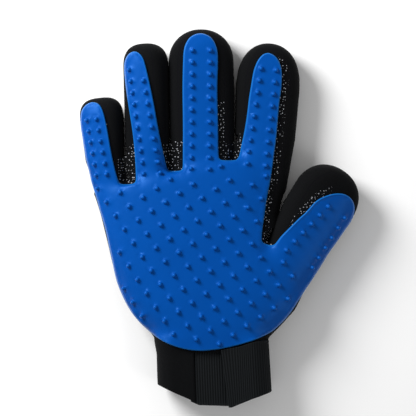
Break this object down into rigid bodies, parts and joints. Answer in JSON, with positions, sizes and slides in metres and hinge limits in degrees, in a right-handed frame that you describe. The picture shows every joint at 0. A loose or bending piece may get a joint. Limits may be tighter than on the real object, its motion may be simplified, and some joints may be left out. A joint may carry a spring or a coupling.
{
  "type": "pet grooming glove",
  "caption": "Right-hand pet grooming glove with a nubbed rubber pad on the palm and fingers, mesh and knit panels, an elastic cuff and a hook-and-loop wrist strap.",
  "frame": {"origin": "middle of the footprint, on the surface that the back of the glove lies on", "axes": "+Y from the wrist to the fingertips, +X to the thumb side, +Z out of the palm"},
  "size_m": [0.1761, 0.2362, 0.0359],
  "materials": {
    "blue_rubber": "satin",
    "black_mesh": "matt open net",
    "black_neoprene": "matt knit",
    "black_elastic": "matt ribbed",
    "black_webbing": "matt ribbed",
    "black_hooks": "matt",
    "black_loops": "matt pile"
  },
  "bodies": {
    "palm": {"palm_mesh_panel": "black_mesh", "hand_back_panel": "black_neoprene", "little_side_gusset": "black_neoprene", "thumb_side_gusset": "black_neoprene", "index_side_gusset": "black_neoprene", "finger_webs": "black_mesh", "palm_rubber_pad": "blue_rubber", "cuff_band": "black_neoprene", "cuff_elastic_insert": "black_elastic", "cuff_hem": "black_neoprene", "loop_patch": "black_loops", "strap_anchor": "black_webbing"},
    "little_lower": {"little_lower_mesh_panel": "black_mesh", "little_lower_back_panel": "black_neoprene", "little_lower_side_wall": "black_neoprene", "little_lower_rubber_strip": "blue_rubber"},
    "little_upper": {"little_upper_mesh_panel": "black_mesh", "little_upper_back_panel": "black_neoprene", "little_upper_side_wall": "black_neoprene", "little_upper_rubber_strip": "blue_rubber"},
    "ring_lower": {"ring_lower_mesh_panel": "black_mesh", "ring_lower_back_panel": "black_neoprene", "ring_lower_side_wall": "black_neoprene", "ring_lower_rubber_strip": "blue_rubber"},
    "ring_upper": {"ring_upper_mesh_panel": "black_mesh", "ring_upper_back_panel": "black_neoprene", "ring_upper_side_wall": "black_neoprene", "ring_upper_rubber_strip": "blue_rubber"},
    "middle_lower": {"middle_lower_mesh_panel": "black_mesh", "middle_lower_back_panel": "black_neoprene", "middle_lower_side_wall": "black_neoprene", "middle_lower_rubber_strip": "blue_rubber"},
    "middle_upper": {"middle_upper_mesh_panel": "black_mesh", "middle_upper_back_panel": "black_neoprene", "middle_upper_side_wall": "black_neoprene", "middle_upper_rubber_strip": "blue_rubber"},
    "index_lower": {"index_lower_mesh_panel": "black_mesh", "index_lower_back_panel": "black_neoprene", "index_lower_side_wall": "black_neoprene", "index_lower_rubber_strip": "blue_rubber"},
    "index_upper": {"index_upper_mesh_panel": "black_mesh", "index_upper_back_panel": "black_neoprene", "index_upper_side_wall": "black_neoprene", "index_upper_rubber_strip": "blue_rubber"},
    "thumb_lower": {"thumb_lower_mesh_panel": "black_mesh", "thumb_lower_back_panel": "black_neoprene", "thumb_lower_side_wall": "black_neoprene", "thumb_lower_rubber_strip": "blue_rubber"},
    "thumb_upper": {"thumb_upper_mesh_panel": "black_mesh", "thumb_upper_back_panel": "black_neoprene", "thumb_upper_side_wall": "black_neoprene", "thumb_upper_rubber_strip": "blue_rubber"},
    "strap": {"strap_webbing": "black_webbing", "strap_hook_patch": "black_hooks"}
  },
  "joints": [
    {"name": "little_knuckle_bend", "type": "hinge", "parent": "palm", "child": "little_lower", "pos_m": [-0.0718, 0.0366, 0.02303], "axis": [0.9954, 0.0958, 0], "range_deg": [0, 60], "stiffness_Nm_per_rad": 0.02},
    {"name": "little_mid_bend", "type": "hinge", "parent": "little_lower", "child": "little_upper", "pos_m": [-0.0738, 0.0574, 0.02303], "axis": [0.9954, 0.0958, 0], "range_deg": [0, 75], "stiffness_Nm_per_rad": 0.02},
    {"name": "ring_knuckle_bend", "type": "hinge", "parent": "palm", "child": "ring_lower", "pos_m": [-0.0454, 0.0456, 0.02536], "axis": [0.9994, 0.0349, 0], "range_deg": [0, 60], "stiffness_Nm_per_rad": 0.02},
    {"name": "ring_mid_bend", "type": "hinge", "parent": "ring_lower", "child": "ring_upper", "pos_m": [-0.04641, 0.07438, 0.02536], "axis": [0.9994, 0.0349, 0], "range_deg": [0, 75], "stiffness_Nm_per_rad": 0.02},
    {"name": "middle_knuckle_bend", "type": "hinge", "parent": "palm", "child": "middle_lower", "pos_m": [-0.0116, 0.0478, 0.0248], "axis": [1, 0, 0], "range_deg": [0, 60], "stiffness_Nm_per_rad": 0.02},
    {"name": "middle_mid_bend", "type": "hinge", "parent": "middle_lower", "child": "middle_upper", "pos_m": [-0.0116, 0.077, 0.0248], "axis": [1, 0, 0], "range_deg": [0, 75], "stiffness_Nm_per_rad": 0.02},
    {"name": "index_knuckle_bend", "type": "hinge", "parent": "palm", "child": "index_lower", "pos_m": [0.0276, 0.0509, 0.0238], "axis": [0.994, -0.1097, 0], "range_deg": [0, 60], "stiffness_Nm_per_rad": 0.02},
    {"name": "index_mid_bend", "type": "hinge", "parent": "index_lower", "child": "index_upper", "pos_m": [0.03091, 0.08092, 0.0238], "axis": [0.994, -0.1097, 0], "range_deg": [0, 75], "stiffness_Nm_per_rad": 0.02},
    {"name": "thumb_knuckle_bend", "type": "hinge", "parent": "palm", "child": "thumb_lower", "pos_m": [0.0424, -0.0234, 0.03027], "axis": [0.829, -0.5592, 0], "range_deg": [0, 50], "stiffness_Nm_per_rad": 0.02},
    {"name": "thumb_mid_bend", "type": "hinge", "parent": "thumb_lower", "child": "thumb_upper", "pos_m": [0.05878, 0.00089, 0.03027], "axis": [0.829, -0.5592, 0], "range_deg": [0, 70], "stiffness_Nm_per_rad": 0.02},
    {"name": "strap_peel", "type": "hinge", "parent": "palm", "child": "strap", "pos_m": [0.0347, -0.098, 0.014], "axis": [0, 1, 0], "range_deg": [0, 120]}
  ]
}
